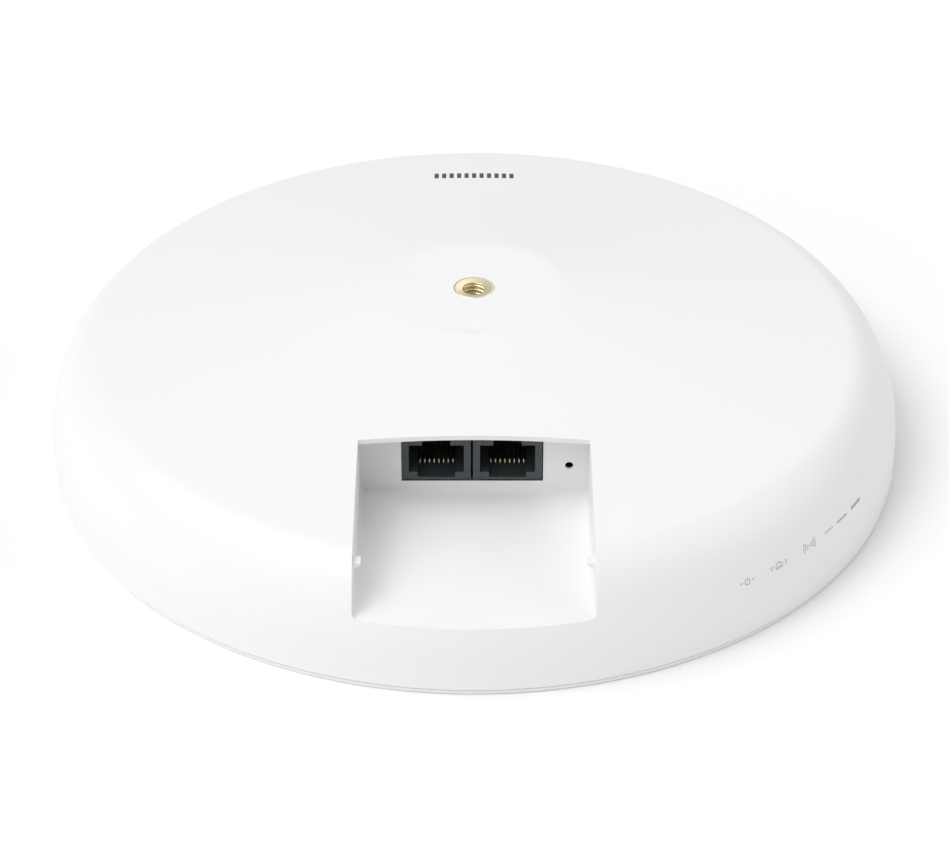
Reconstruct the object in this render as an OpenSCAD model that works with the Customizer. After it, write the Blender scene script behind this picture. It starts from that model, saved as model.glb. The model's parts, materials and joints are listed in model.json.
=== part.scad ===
// Round ceiling access point, lying on its front face with the cable bay open to -Y.
// Origin: centre of the front face. +Z points out of the back, where the unit is fastened.

/* [Housing] */
// Outside diameter
body_d = 190; // [188:1:194]
// Height from the front face to the flat on the back
body_h = 40; // [39.5:0.5:41]
// Thickness of both plastic shells
wall = 2.2; // [2:0.1:2.4]
// Diameter of the flat in the middle of the back
flat_d = 39.6; // [38:0.2:42]
// Height at which the upright side turns into the shoulder
side_h = 7.3; // [6.5:0.1:8]
// Height of the front cover's visible rim
rim_h = 1.1; // [1:0.05:1.3]

/* [Cable bay] */
// Clear width between the bay's side walls, beside the jacks
bay_w = 48.8; // [48:0.2:50]
// How much wider the bay is at its open end
bay_flare = 1; // [0:0.1:1.4]
// Height of the bay's floor
bay_floor = 16; // [15.6:0.1:16]
// Distance from the centre to the wall that carries the jacks
bay_wall_y = 44; // [43.6:0.1:44.2]
// Distance from the centre to the edge of the skin that overhangs the jacks
lip_y = 50.3; // [48:0.1:52]

/* [Jacks] */
// Width of one jack
jack_w = 14.8; // [14.6:0.1:15]
// Height of one jack above the board
jack_h = 13.2; // [13:0.1:13.4]
// Depth of one jack
jack_l = 15.6; // [15:0.1:16]
// Distance between the middles of the two jacks
jack_pitch = 15.2; // [15.2:0.1:15.3]
// Sideways place of the middle of the pair
jack_mid_x = -0.45; // [-0.6:0.05:-0.2]
// Distance between neighbouring contacts
contact_pitch = 1.016; // [1.0:0.008:1.032]

/* [Reset switch] */
// Sideways place of the pinhole
reset_x = 20.3; // [19.5:0.1:20.5]
// Radius of the pinhole
reset_r = 0.85; // [0.7:0.05:1]
// How far the plunger travels
reset_travel = 0.25; // [0.2:0.05:0.3]

/* [Threaded insert] */
// Radius of the plain bore under the M6 thread
thread_r = 2.5; // [2.45:0.01:2.55]
// Radius of the insert's rim
insert_rim_r = 4.5; // [4.4:0.1:4.8]
// Length of the insert
insert_l = 12; // [10:0.5:12]

/* [Hidden] */
$fn = 64;
eps = 0.01;
gap = 0.05;               // free play between a fixed piece and the hole that it sits in

// Section of the housing: an upright side, an elliptical shoulder, a shallow cone and the flat.
body_r = body_d / 2;
flat_r = flat_d / 2;
shoulder_w = 13.3;        // half axis of the shoulder, outwards
shoulder_h = body_h - side_h - 12.22;  // half axis of the shoulder, upwards
shoulder_r = body_r - shoulder_w;
shoulder_end = 82.75;     // angle on the shoulder where the cone takes over
shoulder_steps = 16;
function shoulder(t, inset) =
    [shoulder_r + (shoulder_w - inset) * cos(t), side_h + (shoulder_h - inset) * sin(t)];
cone_foot = shoulder(shoulder_end, 0);
cone_slope = (body_h - cone_foot[1]) / (cone_foot[0] - flat_r);
function cone_z(r) = body_h - max(0, r - flat_r) * cone_slope;
// Half the bay's width at a place outside its lip.
function bay_half(y) = (bay_w + bay_flare * (-y - lip_y) / (body_r - lip_y)) / 2;

// Parting between the two shells, and the seal that lies in it.
part_gap = 0.15;
cover_z = rim_h + part_gap;
rim_round = 0.3;          // the front rim stands this far inside the side
flange_r = 91.6;          // inner radius of the back cover's lower flange
flange_top = 3.6;
seal_r = 93.2;            // middle of the seal
seal_w = 1.2;
seal_bottom = 0.7;
seal_top = 1.95;
tongue_r = 91.4;          // outer radius of the front cover's tongue
hook_count = 8;
hook_deg = 9;

// Bay
bay_wall = 2.2;           // thickness of the bay's walls and floor
lip_t = 1.1;              // thickness of the skin over the jacks, down to its edge
jack_slit = 0.3;          // open slit below the jacks
bump_y = -82.1;           // the catches for a bay cover
bump_l = 2.4;
bump_h = 1.4;
bump_out = 1.75;
bump_top = 25;
insert_boss_r = 7;
mark_y = 16.4;            // shallow dimple beside the insert, which keys a bracket
mark_r = 2.9;
mark_depth = 0.35;

// Boards, from the back inwards
board_t = 1.6;
board_top = bay_floor + 2.6;
board_bottom = board_top - board_t;
board_r = 84;
board_front = bay_wall_y - bay_wall - 0.3;
post_xy = [[-62, -22], [62, -22], [-50, 48], [50, 48], [0, 72]];
post_r = 3.5;
post_core_r = 1.5;
post_core_l = 7;
reflector_z = 9;
reflector_t = 1;
reflector_r = 86;
reflector_rim = 2.2;
screw_head_r = 2.75;
screw_head_h = 1.8;
screw_r = 1.2;
screw_l = 5;
antenna_z = 4.2;
antenna_t = 0.8;
antenna_r = 80;
copper_t = 0.1;
spacer_xy = [[0, 34], [0, -34], [72, 0], [-72, 0], [46, 56], [-46, 56], [46, -56], [-46, -56]];
spacer_r = 2.5;
spacer_pin_r = 1.4;
spacer_head_r = 2.0;

// Jack details, measured from the jack's face, its middle and the board
jack_face = -bay_wall_y + 0.1;
port_w = 11.7;            // main opening, for the plug's body
port_z = 1.95;
port_h = 6.7;
port_l = 12.7;
channel_w = 7.9;          // trough under the contacts
channel_z = 0.6;
key_w = 6.0;              // keyway of the plug's latch
key_h = 2.1;
key2_w = 3.4;
key2_h = 1.1;
peg_r = 1.6;
peg_x = 5.72;
peg_y = 8.9;
peg_l = 3.1;
carrier_w = 9.6;
carrier_y = 12.7;
wire_w = 0.4;
wire_t = 0.3;
bend_r = 0.45;
bend_y = 5.6;             // bend of each contact, where it hinges
bend_z = 1.3;
tip_y = 12.0;
tip_z = 4.0;
tail_r = 0.2;
tail_y = [13.6, 14.9];
tail_l = 3;
run_z = 0.65;
pinhole_z = 22.2;

// Heat spreader on the processor, held by two push pins
spreader_z = board_top + 2.9;
spreader_t = 1.2;
pin_xy = [[3, 34], [33, 34]];
pin_r = 1.2;

// Reset switch
switch_w = 6.2;
switch_y = -39.4;         // front of the switch body
switch_l = 4.2;
switch_h = 7;
plunger_r = 1.7;
plunger_out = 1.5;
plunger_flange_r = 2.2;
plunger_flange_l = 0.8;
plunger_play = 0.04;
switch_plate = 0.8;

// Status lights, one under each legend on the shoulder
led_deg = [36.9, 42.4, 48.4, 52.9, 55.9, 59.8];
led_r = 78.5;
guide_r0 = 80.6;
guide_r1 = 91.0;
guide_z = 13.9;
guide_h = 2.2;

white = [0.95, 0.95, 0.95];
board_green = [0.10, 0.32, 0.20];
copper = [0.80, 0.50, 0.30];
gold = [0.85, 0.68, 0.30];
steel = [0.75, 0.76, 0.78];
black = [0.08, 0.08, 0.09];

// ---------- helpers ----------

module ring(r_out, r_in, z0, z1) {
    translate([0, 0, z0]) difference() {
        cylinder(r = r_out, h = z1 - z0);
        translate([0, 0, -1]) cylinder(r = r_in, h = z1 - z0 + 2);
    }
}

module ring_sector(r_out, r_in, z0, z1, deg) {
    rotate([0, 0, -deg / 2]) rotate_extrude(angle = deg)
        translate([r_in, z0]) square([r_out - r_in, z1 - z0]);
}

module block(x, y, z, l, w, h) {
    translate([x - l / 2, y - w / 2, z]) cube([l, w, h]);
}

module disc(r, z, h) {
    translate([0, 0, z]) cylinder(r = r, h = h);
}

module around(count) {
    for (i = [0 : count - 1]) rotate([0, 0, 360 * (i + 0.5) / count]) children();
}

module at_each(points) {
    for (p = points) translate([p[0], p[1], 0]) children();
}

// Turns its children from +X to each status light's bearing, counted from -Y towards +X.
module at_leds() {
    for (a = led_deg) rotate([0, 0, a - 90]) children();
}

module hex(across_flats, h) {
    cylinder(d = across_flats / cos(30), h = h, $fn = 6);
}

// Solid of revolution inside the housing's surface, set in by a distance.
module body_solid(inset, z0) {
    arc = [for (i = [0 : shoulder_steps]) shoulder(shoulder_end * i / shoulder_steps, inset)];
    rotate_extrude() polygon(concat(
        [[0, z0], [body_r - inset, z0]], arc, [[flat_r, body_h - inset], [0, body_h - inset]]));
}

module rounded_plan(l, w, r) {
    hull() for (x = [-1, 1], y = [-1, 1])
        translate([x * (l / 2 - r), y * (w / 2 - r)]) circle(r = r);
}

// ---------- housing ----------

module bay_cavity() {
    mouth = -body_r - 5;
    translate([0, 0, bay_floor]) linear_extrude(body_h) polygon([
        [-bay_w / 2, -lip_y], [-bay_half(mouth), mouth], [bay_half(mouth), mouth], [bay_w / 2, -lip_y]]);
    intersection() {
        body_solid(lip_t, -1);
        translate([-bay_w / 2, -lip_y - 1, bay_floor])
            cube([bay_w, lip_y + 1 - bay_wall_y, body_h]);
    }
}

module bay_tub() {
    intersection() {
        body_solid(0, cover_z);
        translate([-bay_w / 2 - bay_wall, -body_r, bay_floor - bay_wall])
            cube([bay_w + 2 * bay_wall, body_r - bay_wall_y + bay_wall, body_h]);
    }
}

module bay_bumps() {
    for (side = [-1, 1])
        translate([side * bay_half(bump_y), bump_y, bump_top - bump_h]) rotate([90, 0, 0])
            linear_extrude(bump_l, center = true)
                polygon([[side, -0.6], [0, -0.6], [-side * bump_out, bump_h / 2],
                         [-side * bump_out, bump_h], [side, bump_h]]);
}

module jack_cutout() {
    w = jack_pitch + jack_w + 2 * gap;
    translate([jack_mid_x - w / 2, -bay_wall_y - 1, board_top - jack_slit])
        cube([w, bay_wall + 2, jack_h + jack_slit + gap]);
}

module back_cover() color(white) difference() {
    union() {
        difference() {
            union() {
                difference() {
                    body_solid(0, cover_z);
                    body_solid(wall, -1);
                }
                bay_tub();
            }
            bay_cavity();
        }
        ring(body_r - wall / 2, flange_r, cover_z, flange_top);
        bay_bumps();
        for (p = post_xy) translate(p)
            disc(post_r, board_top, cone_z(norm(p)) - wall / 2 - board_top);
        disc(insert_boss_r, body_h - insert_l - 2, insert_l + 1);
    }
    ring(seal_r + seal_w / 2, seal_r - seal_w / 2, 0, seal_top);
    jack_cutout();
    translate([reset_x, -bay_wall_y - 1, pinhole_z]) rotate([-90, 0, 0])
        cylinder(r = reset_r, h = bay_wall + 2);
    disc(4 + gap, body_h - insert_l, insert_l + 1);
    disc(insert_rim_r + gap, body_h - 0.8, 1);
    mark_sphere = (mark_r * mark_r + mark_depth * mark_depth) / (2 * mark_depth);
    translate([0, -mark_y, body_h - mark_depth + mark_sphere]) sphere(r = mark_sphere);
    at_each(post_xy) disc(post_core_r, board_top - 1, post_core_l + 1);
}

module front_cover() color(white) difference() {
    union() {
        rotate_extrude() polygon([
            [0, 0], [body_r - rim_round - 0.4, 0], [body_r - rim_round, 0.35],
            [body_r - 0.1, rim_h], [tongue_r, rim_h], [tongue_r, wall - 0.2], [0, wall - 0.2]]);
        ring(tongue_r, tongue_r - 1.8, rim_h, 6.2);
        around(hook_count)
            ring_sector(tongue_r + 0.8, tongue_r - 0.5, flange_top + 0.1, flange_top + 1.3, hook_deg);
    }
    ring(seal_r + seal_w / 2, seal_r - seal_w / 2, seal_bottom, rim_h + 1);
}

module cover_seal() color([0.35, 0.36, 0.37])
    ring(seal_r + seal_w / 2 - gap, seal_r - seal_w / 2 + gap, seal_bottom, seal_top);

module threaded_insert() color([0.77, 0.68, 0.45]) difference() {
    union() {
        disc(4, body_h - insert_l, insert_l);
        disc(insert_rim_r, body_h - 0.8, 0.8);
    }
    disc(thread_r, body_h - insert_l + 2, insert_l);
    translate([0, 0, body_h - 0.7]) cylinder(r1 = thread_r, r2 = thread_r + 0.71, h = 0.71);
    for (z = [3, 7]) ring(5, 3.5, body_h - insert_l + z, body_h - insert_l + z + 1.2);
}

// ---------- jacks ----------

// Moves its children to a jack: side -1 is the left one, 1 the right one.
module at_jack(side) {
    translate([jack_mid_x + side * jack_pitch / 2, jack_face, board_top]) children();
}

module jack_housing() difference() {
    union() {
        translate([-jack_w / 2, 0, 0]) cube([jack_w, jack_l, jack_h]);
        for (x = [-1, 1]) translate([x * peg_x, peg_y, -peg_l]) cylinder(r = peg_r, h = peg_l + eps);
    }
    translate([-port_w / 2, -1, port_z]) cube([port_w, port_l + 1, port_h]);
    translate([-channel_w / 2, -1, channel_z]) cube([channel_w, port_l + 1, port_z]);
    translate([-key_w / 2, -1, port_z + port_h - eps]) cube([key_w, port_l - 3, key_h + eps]);
    translate([-key2_w / 2, -1, port_z + port_h + key_h - eps]) cube([key2_w, port_l - 4, key2_h + eps]);
    translate([-carrier_w / 2 - gap, carrier_y - gap, -1]) cube([carrier_w + 2 * gap, jack_l, 10 + gap]);
}

module jack_carrier() difference() {
    union() {
        translate([-carrier_w / 2, carrier_y, 0]) cube([carrier_w, jack_l - carrier_y, 9]);
        for (i = [0 : 8]) translate([(i - 4) * contact_pitch - 0.15, tip_y - 0.6, 2.6])
            cube([0.3, carrier_y - tip_y + 0.6 + eps, 3.2]);
    }
    at_wires() {
        translate([-wire_w / 2 - gap, carrier_y - 1, -1])
            cube([wire_w + 2 * gap, tail_y[1] + tail_r + gap - carrier_y + 1, run_z + wire_t + gap + 1]);
    }
}

module at_wires() {
    for (i = [0 : 7]) translate([(i - 3.5) * contact_pitch, 0, 0]) children();
}

// The rising half of each wire, hinged at its front bend.
module jack_contacts() at_wires() {
    rise = atan2(tip_z - bend_z, tip_y - bend_y);
    span = norm([tip_y - bend_y, tip_z - bend_z]);
    translate([-wire_w / 2, bend_y, bend_z]) rotate([0, 90, 0]) cylinder(r = bend_r, h = wire_w);
    translate([0, bend_y, bend_z]) rotate([rise, 0, 0])
        translate([-wire_w / 2, 0, bend_r - wire_t]) cube([wire_w, span, wire_t]);
}

// The fixed half: a run along the trough and a tail through the board.
module jack_tails() for (i = [0 : 7]) translate([(i - 3.5) * contact_pitch, 0, 0]) {
    run_y = bend_y + bend_r + 0.15;
    translate([-wire_w / 2, run_y, run_z]) cube([wire_w, tail_y[i % 2] + tail_r - run_y, wire_t]);
    translate([0, tail_y[i % 2], -tail_l]) cylinder(r = tail_r, h = tail_l + run_z + eps);
}

module jack_left_housing() color(black) at_jack(-1) jack_housing();
module jack_right_housing() color(black) at_jack(1) jack_housing();
module jack_left_carrier() color(black) at_jack(-1) jack_carrier();
module jack_right_carrier() color(black) at_jack(1) jack_carrier();
module jack_left_contacts() color(gold) at_jack(-1) jack_contacts();
module jack_right_contacts() color(gold) at_jack(1) jack_contacts();
module jack_left_tails() color(gold) at_jack(-1) jack_tails();
module jack_right_tails() color(gold) at_jack(1) jack_tails();

// ---------- reset switch ----------

module along_y(x, y, z) {
    translate([x, y, z]) rotate([-90, 0, 0]) children();
}

module reset_switch() color(black) difference() {
    translate([reset_x - switch_w / 2, switch_y, board_top]) cube([switch_w, switch_l, switch_h]);
    along_y(reset_x, switch_y - 1, pinhole_z) cylinder(r = plunger_r + plunger_play, h = 3);
    along_y(reset_x, switch_y + switch_plate, pinhole_z)
        cylinder(r = plunger_flange_r + plunger_play, h = plunger_flange_l + reset_travel + 0.3);
}

module reset_plunger() color(black) {
    flange_y = switch_y + switch_plate + 0.02;
    along_y(reset_x, switch_y - plunger_out, pinhole_z)
        cylinder(r = plunger_r, h = flange_y - switch_y + plunger_out + eps);
    along_y(reset_x, flange_y, pinhole_z) cylinder(r = plunger_flange_r, h = plunger_flange_l);
}

// ---------- main board ----------

module jack_holes() {
    for (side = [-1, 1]) translate([jack_mid_x + side * jack_pitch / 2, jack_face]) {
        for (x = [-1, 1]) translate([x * peg_x, peg_y]) circle(r = peg_r + gap);
        for (i = [0 : 7]) translate([(i - 3.5) * contact_pitch, tail_y[i % 2]])
            circle(r = tail_r + gap);
    }
}

module main_board() color(board_green) translate([0, 0, board_bottom]) linear_extrude(board_t)
    difference() {
        circle(r = board_r);
        translate([-bay_w / 2 - bay_wall - 0.4, -board_r - 1])
            square([bay_w + 2 * bay_wall + 0.8, board_r + 1 - board_front]);
        for (p = post_xy) translate(p) circle(r = post_core_r + gap);
        for (p = pin_xy) translate(p) circle(r = pin_r + gap);
        jack_holes();
    }

module board_standoffs() color(steel) at_each(post_xy) difference() {
    union() {
        translate([0, 0, reflector_z + reflector_t])
            hex(5, board_bottom - reflector_z - reflector_t);
        disc(post_core_r - gap, board_bottom - eps, board_t + post_core_l - 1);
    }
    disc(screw_r + gap, reflector_z, screw_l + 0.5);
}

module processor() color(black) block(10, 8, board_top, 16, 16, 1.4);
module radio_chip() color(black) block(-22, 12, board_top, 11, 11, 0.9);
module memory_chips() color(black) for (y = [-2, 14]) block(30, y + 2, board_top, 8, 12.5, 1.1);
module flash_chip() color(black) block(28, -14, board_top, 8, 6, 1.2);
module switch_chip() color(black) block(4, -11, board_top, 12, 12, 1);
module clock_crystal() color(steel) block(-6, 16, board_top, 3.2, 5, 0.9);

module lan_transformers() color(black)
    for (x = [-16, 16]) block(jack_mid_x + x * 0.6, -21.6, board_top, 16, 8, 5.6);

module surge_arrestors() color([0.8, 0.8, 0.78])
    for (x = [-32, -38]) along_y(x, -34, board_top + 2.5) cylinder(r = 2.5, h = 6);

module power_transformer() color([0.75, 0.7, 0.35]) {
    block(-46, -6, board_top, 15, 14, 1.5);
    block(-46, -6, board_top + 1.5, 13, 10, 6);
    block(-46, -6, board_top + 7.5, 15, 14, 1.2);
}

module power_inductors() color([0.25, 0.25, 0.27])
    for (p = [[-62, -4], [-62, 8], [-46, -20]]) translate([p[0], p[1], board_top])
        intersection() {
            block(0, 0, 0, 8, 8, 4);
            cylinder(r = 4.9, h = 4);
        }

module power_capacitors() color([0.7, 0.72, 0.76])
    at_each([[-66, 22], [-56, 26], [-60, 37]]) disc(4, board_top, 8.2);

module shield_frame() color(steel) {
    difference() {
        block(-22, 24, board_top, 36, 36, 2.4);
        block(-22, 24, board_top - 1, 35.4, 35.4, 5);
    }
}

module shield_lid() color(steel) difference() {
    block(-22, 24, board_top + 0.6, 36.8, 36.8, 2.1);
    block(-22, 24, board_top, 36.2, 36.2, 2.45);
}

module thermal_pad() color([0.55, 0.62, 0.75]) block(10, 8, board_top + 1.4, 16, 16, 1.5);

module heat_spreader() color([0.8, 0.8, 0.82]) difference() {
    union() {
        block(18, 16, spreader_z, 36, 44, spreader_t);
        for (i = [-2 : 2]) block(18 + i * 5.6, 28, spreader_z + spreader_t - eps, 1.2, 16, 3);
    }
    at_each(pin_xy) disc(pin_r + gap, spreader_z - 1, spreader_t + 2);
}

module spreader_pins() color([0.93, 0.92, 0.88]) at_each(pin_xy) {
    disc(pin_r + 0.8, spreader_z + spreader_t, 1);
    disc(pin_r, board_bottom - 1.2, spreader_z + spreader_t - board_bottom + 1.3);
    disc(pin_r + 0.4, board_bottom - 1.2, 1.2);
}

module status_leds() color([0.9, 0.9, 0.8])
    at_leds() translate([led_r, 0, 0]) block(0, 0, board_bottom - 1.8, 1.6, 2, 1.8);

module light_guide() color([0.85, 0.9, 0.92]) {
    at_leds() translate([(guide_r0 + guide_r1) / 2, 0, 0])
        block(0, 0, guide_z, guide_r1 - guide_r0, 2, guide_h);
    mid = (led_deg[0] + led_deg[5]) / 2;
    rotate([0, 0, mid - 90])
        ring_sector(86, 84.4, guide_z + 0.4, guide_z + guide_h - 0.4, led_deg[5] - led_deg[0] + 2.4);
}

// ---------- antenna ----------

lead_x = 12;
lead_y0 = 24;             // lead's end on the main board
lead_y1 = 2;              // lead's end on the antenna board
window_l = 36;
window_w = 14;
window_y = 13;

module antenna_reflector() color([0.82, 0.83, 0.84]) {
    translate([0, 0, reflector_z]) linear_extrude(reflector_t) difference() {
        circle(r = reflector_r);
        for (p = post_xy) translate(p) circle(r = screw_r + gap);
        for (p = spacer_xy) translate(p) circle(r = spacer_pin_r + gap);
        translate([0, window_y]) rounded_plan(window_l, window_w, 3);
    }
    ring(reflector_r, reflector_r - reflector_t, reflector_z + reflector_t - eps,
         reflector_z + reflector_t + reflector_rim);
}

module reflector_screws() color(steel) at_each(post_xy) difference() {
    union() {
        disc(screw_head_r, reflector_z - screw_head_h, screw_head_h);
        disc(screw_r, reflector_z - eps, screw_l);
    }
    block(0, 0, reflector_z - screw_head_h - 1, 0.7, 3.6, 1.9);
    block(0, 0, reflector_z - screw_head_h - 1, 3.6, 0.7, 1.9);
}

module antenna_spacers() color([0.93, 0.92, 0.88]) at_each(spacer_xy) {
    top = reflector_z + reflector_t;
    disc(spacer_r, antenna_z + antenna_t, reflector_z - antenna_z - antenna_t);
    disc(spacer_pin_r, antenna_z - 0.9, top - antenna_z + 1.8);
    disc(spacer_head_r, top, 0.9);
    disc(spacer_head_r, antenna_z - 0.9, 0.9);
}

module antenna_board() color([0.86, 0.84, 0.76]) translate([0, 0, antenna_z])
    linear_extrude(antenna_t) difference() {
        circle(r = antenna_r);
        for (p = spacer_xy) translate(p) circle(r = spacer_pin_r + gap);
    }

patch = 20;
patch_step = 19;          // half the distance between neighbouring patches
patch_xy = [for (x = [-3 : 2 : 3], y = [-3 : 2 : 3]) if (abs(x * y) < 9) [x, y] * patch_step];
feed_w = 1.6;

module antenna_patches() color(copper)
    for (p = patch_xy) block(p[0], p[1], antenna_z - copper_t, patch, patch, copper_t);

module feed(x0, y0, x1, y1) {
    block((x0 + x1) / 2, (y0 + y1) / 2, antenna_z - copper_t,
          abs(x1 - x0) + feed_w, abs(y1 - y0) + feed_w, copper_t);
}

module antenna_feed_lines() color(copper) {
    near = patch_step + patch / 2 + feed_w / 2 + gap;
    far = 3 * patch_step - patch / 2 - feed_w / 2 - gap;
    mid = 2 * patch_step;
    feed(-mid, 0, mid, 0);
    for (sx = [-1, 1]) {
        feed(sx * mid, -mid, sx * mid, mid);
        for (sy = [-1, 1]) {
            feed(sx * near, sy * patch_step, sx * far, sy * patch_step);
            feed(sx * patch_step, sy * mid, sx * mid, sy * mid);
            feed(sx * patch_step, sy * mid, sx * patch_step, sy * far);
        }
    }
}

connector_h = 1.2;
connector_r = 1.3;
module coax_connectors() color(gold) for (x = [-lead_x, lead_x]) {
    translate([x, lead_y0, 0]) disc(connector_r, board_bottom - connector_h, connector_h);
    translate([x, lead_y1, 0]) disc(connector_r, antenna_z + antenna_t, connector_h);
}

lead_r = 0.5;
lead_sides = 8;
lead_z0 = board_bottom - connector_h / 2;
lead_z1 = antenna_z + antenna_t + connector_h / 2;
lead_steps = 18;
lead_span = lead_y0 - lead_y1 - 2 * connector_r - 0.1;
// Point on a lead: it leaves level, drops through the window on a smooth S and arrives level.
function lead_at(s) =
    [lead_y0 - connector_r - 0.05 - lead_span * s,
     lead_z0 + (lead_z1 - lead_z0) * (1 - cos(180 * s)) / 2];
function lead_ring(s) = let (
    a = lead_at(s - 0.01), b = lead_at(s + 0.01), d = (b - a) / norm(b - a), c = lead_at(s),
    flat = (s < 0.001 || s > 0.999) ? [-1, 0] : d)
    [for (i = [0 : lead_sides - 1]) let (t = 360 * i / lead_sides)
        [lead_r * cos(t), c[0] - flat[1] * lead_r * sin(t), c[1] + flat[0] * lead_r * sin(t)]];

module coax_lead() {
    points = [for (k = [0 : lead_steps]) each lead_ring(k / lead_steps)];
    sides = [for (k = [0 : lead_steps - 1], i = [0 : lead_sides - 1]) let (
        j = (i + 1) % lead_sides, a = k * lead_sides)
        [a + i, a + j, a + j + lead_sides, a + i + lead_sides]];
    first = [for (i = [lead_sides - 1 : -1 : 0]) i];
    last = [for (i = [0 : lead_sides - 1]) lead_steps * lead_sides + i];
    polyhedron(points, concat(sides, [first, last]), convexity = 4);
}

module coax_leads() color([0.15, 0.15, 0.16])
    for (x = [-lead_x, lead_x]) translate([x, 0, 0]) coax_lead();

back_cover();
front_cover();
cover_seal();
threaded_insert();
jack_left_housing();
jack_right_housing();
jack_left_carrier();
jack_right_carrier();
jack_left_contacts();
jack_right_contacts();
jack_left_tails();
jack_right_tails();
reset_switch();
reset_plunger();
main_board();
board_standoffs();
processor();
radio_chip();
memory_chips();
flash_chip();
switch_chip();
clock_crystal();
lan_transformers();
surge_arrestors();
power_transformer();
power_inductors();
power_capacitors();
shield_frame();
shield_lid();
thermal_pad();
heat_spreader();
spreader_pins();
status_leds();
light_guide();
antenna_reflector();
reflector_screws();
antenna_spacers();
antenna_board();
antenna_patches();
antenna_feed_lines();
coax_leads();
coax_connectors();
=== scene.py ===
"""Ceiling access point lying on its front face.

Finished shells, jacks, insert and print stand round the fixed frame. Every node gets a material, and the unit
stands in a plain studio.
"""

import json
import math

import bmesh
import bpy
import numpy as np
from mathutils import Matrix, Vector


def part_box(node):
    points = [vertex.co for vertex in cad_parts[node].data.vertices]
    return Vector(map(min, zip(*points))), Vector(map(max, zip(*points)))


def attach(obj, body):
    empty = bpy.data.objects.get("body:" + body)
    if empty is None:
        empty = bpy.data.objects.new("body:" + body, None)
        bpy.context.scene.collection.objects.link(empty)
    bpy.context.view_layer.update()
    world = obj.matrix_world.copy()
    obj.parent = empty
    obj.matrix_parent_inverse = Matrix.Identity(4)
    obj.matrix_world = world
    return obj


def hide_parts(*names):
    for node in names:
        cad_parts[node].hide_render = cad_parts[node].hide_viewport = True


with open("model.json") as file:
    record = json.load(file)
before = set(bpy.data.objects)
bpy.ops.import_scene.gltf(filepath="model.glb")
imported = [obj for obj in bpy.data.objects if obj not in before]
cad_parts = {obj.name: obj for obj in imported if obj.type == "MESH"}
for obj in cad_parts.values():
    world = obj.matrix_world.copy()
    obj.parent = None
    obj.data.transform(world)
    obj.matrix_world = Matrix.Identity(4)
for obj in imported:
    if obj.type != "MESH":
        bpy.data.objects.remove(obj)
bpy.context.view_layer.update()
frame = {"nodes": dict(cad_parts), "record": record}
NODES = frame["nodes"]
ROOT = "housing"
MM = 0.001


def node_box(name):
    """Lowest and highest corner of a CAD node, in millimetres."""
    lo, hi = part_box(name)
    return Vector(lo) / MM, Vector(hi) / MM


# ---------- sizes, in millimetres ----------

SHELL_LO, SHELL_HI = node_box("back_cover")
R = round(SHELL_HI.x, 1)
H = round(SHELL_HI.z, 1)
PART_Z = SHELL_LO.z                  # lower edge of the back cover
COVER_HI = node_box("front_cover")[1]
WALL = 2.2
FLAT_R = 19.8
FLAT_BLEND = 1.5                     # half width of the soft crease round the flat
SIDE_H = 7.3
SHOULDER_W = 13.3
SHOULDER_H = 20.48
SHOULDER_R = R - SHOULDER_W
SHOULDER_END = math.radians(82.75)
BAY_X = 24.4                         # half the bay's width beside the jacks
BAY_FLARE = 0.5                      # how much wider each side is at the open end
BAY_WALL_Y = 44
BAY_FLOOR = 16.0
LIP_Y = 50.3
LIP_T = 1.1                          # skin over the jacks
JACK_SLIT = 0.3                      # open slit below the jacks
EDGE_ROUND = 0.35                    # rounded edges of the bay's mouth
CORNER_ROUND = 0.4                   # upright corners of the bay
LOW_ROUND = 0.25                     # edges at the seam
FLOOR_FILLET = 1.2
SEAL_IN, SEAL_OUT = 92.6, 93.8       # radii of the seal's groove
FLANGE_R = 91.6                      # inside of the back cover's lower edge
FLANGE_H = 3.6
LEGEND_Z = 14.5                      # height of the legends on the shoulder


def shoulder(t, inset=0.0):
    """Point (radius, height) on the shoulder's ellipse."""
    return (SHOULDER_R + (SHOULDER_W - inset) * math.cos(t), SIDE_H + (SHOULDER_H - inset) * math.sin(t))


CONE_FOOT = shoulder(SHOULDER_END)
CONE_SLOPE = (H - CONE_FOOT[1]) / (CONE_FOOT[0] - FLAT_R)


def cone_z(r):
    return H - max(0.0, r - FLAT_R) * CONE_SLOPE


def bay_half(y):
    """Half the bay's width at a place outside its lip."""
    return BAY_X + BAY_FLARE * (-y - LIP_Y) / (R - LIP_Y)


def mouth_x(r):
    """Half the bay's width where its side wall meets a radius of the body."""
    x = BAY_X
    for _ in range(8):
        x = bay_half(-math.sqrt(r * r - x * x))
    return x


# ---------- mesh helpers ----------

SLIVER = 0.001                       # points nearer than this are one


def mesh_object(name, bm, scale=MM):
    """A new object in the scene from a bmesh in millimetres."""
    bmesh.ops.recalc_face_normals(bm, faces=bm.faces[:])
    bm.transform(Matrix.Scale(scale, 4))
    mesh = bpy.data.meshes.new(name)
    bm.to_mesh(mesh)
    bm.free()
    obj = bpy.data.objects.new(name, mesh)
    bpy.context.scene.collection.objects.link(obj)
    return obj


def bake_modifiers(obj):
    """Replaces the object's mesh by what its modifiers make of it."""
    graph = bpy.context.evaluated_depsgraph_get()
    mesh = bpy.data.meshes.new_from_object(obj.evaluated_get(graph))
    obj.modifiers.clear()
    old, obj.data = obj.data, mesh
    bpy.data.meshes.remove(old)


def combine(obj, other, operation):
    """Boolean of two closed objects in place; the second is removed."""
    mod = obj.modifiers.new("combine", "BOOLEAN")
    mod.operation = operation
    mod.solver = "EXACT"
    mod.object = other
    bake_modifiers(obj)
    mesh = other.data
    bpy.data.objects.remove(other)
    bpy.data.meshes.remove(mesh)


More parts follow.
